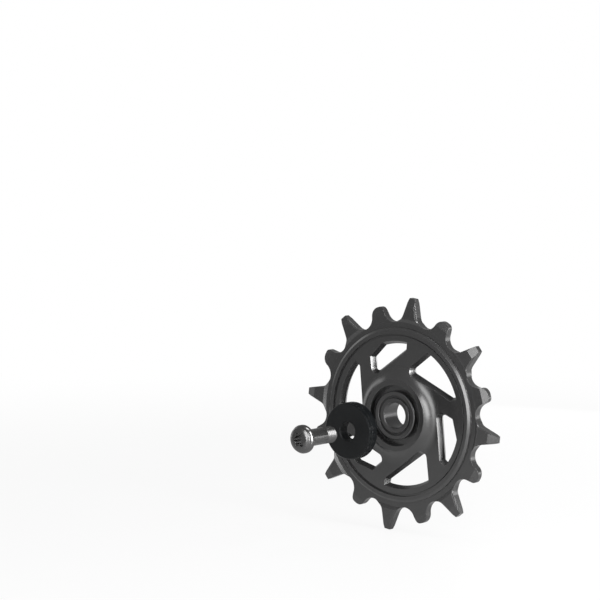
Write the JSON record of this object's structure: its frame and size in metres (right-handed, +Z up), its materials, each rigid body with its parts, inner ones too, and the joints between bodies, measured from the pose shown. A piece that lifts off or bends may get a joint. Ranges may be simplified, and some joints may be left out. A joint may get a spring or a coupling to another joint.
{
  "type": "derailleur jockey wheel",
  "caption": "Toothed jockey wheel with alternating thick and thin teeth and pierced blades on a sealed ball bearing, its dust cap and bolt taken off in front.",
  "frame": {"origin": "centre of the wheel on its axis, in the middle plane of the teeth", "axes": "+Y along the axis from the front (cap and bolt side) to the rear, +Z up, +X to the right seen from the front"},
  "size_m": [0.0724, 0.053, 0.0724],
  "materials": {
    "wheel_plastic": "satin dark grey, moulded",
    "bearing_steel": "dark polished steel",
    "seal_rubber": "black, matt",
    "ball_steel": "polished",
    "cage_plastic": "natural nylon",
    "cap_aluminium": "black anodised, fine bead-blasted grain",
    "bolt_steel": "blackened steel, half gloss"
  },
  "bodies": {
    "axle": {"bearing_inner_race": "bearing_steel"},
    "wheel": {"toothed_wheel": "wheel_plastic", "bearing_outer_race": "bearing_steel", "bearing_seal_front": "seal_rubber", "bearing_seal_rear": "seal_rubber"},
    "balls": {"bearing_cage": "cage_plastic", "bearing_ball_01": "ball_steel", "bearing_ball_02": "ball_steel", "bearing_ball_03": "ball_steel", "bearing_ball_04": "ball_steel", "bearing_ball_05": "ball_steel", "bearing_ball_06": "ball_steel", "bearing_ball_07": "ball_steel", "bearing_ball_08": "ball_steel", "bearing_ball_09": "ball_steel", "bearing_ball_10": "ball_steel", "bearing_ball_11": "ball_steel"},
    "cap": {"dust_cap": "cap_aluminium"},
    "bolt": {"pulley_bolt": "bolt_steel"}
  },
  "joints": [
    {"name": "wheel_spin", "type": "hinge", "parent": "axle", "child": "wheel", "pos_m": [0, 0, 0], "axis": [0, 1, 0], "continuous": true},
    {"name": "ball_spin", "type": "hinge", "parent": "axle", "child": "balls", "pos_m": [0, 0, 0], "axis": [0, 1, 0], "continuous": true},
    {"name": "cap_slide", "type": "slide", "parent": "axle", "child": "cap", "axis": [0, 0.9945, 0.1044], "range_m": [0, 0.02202]},
    {"name": "bolt_slide", "type": "slide", "parent": "cap", "child": "bolt", "axis": [0, 1, 0], "range_m": [0, 0.0205]}
  ],
  "couplings": [
    {"joint": "ball_spin", "follows": "wheel_spin", "ratio": 0.5866}
  ]
}
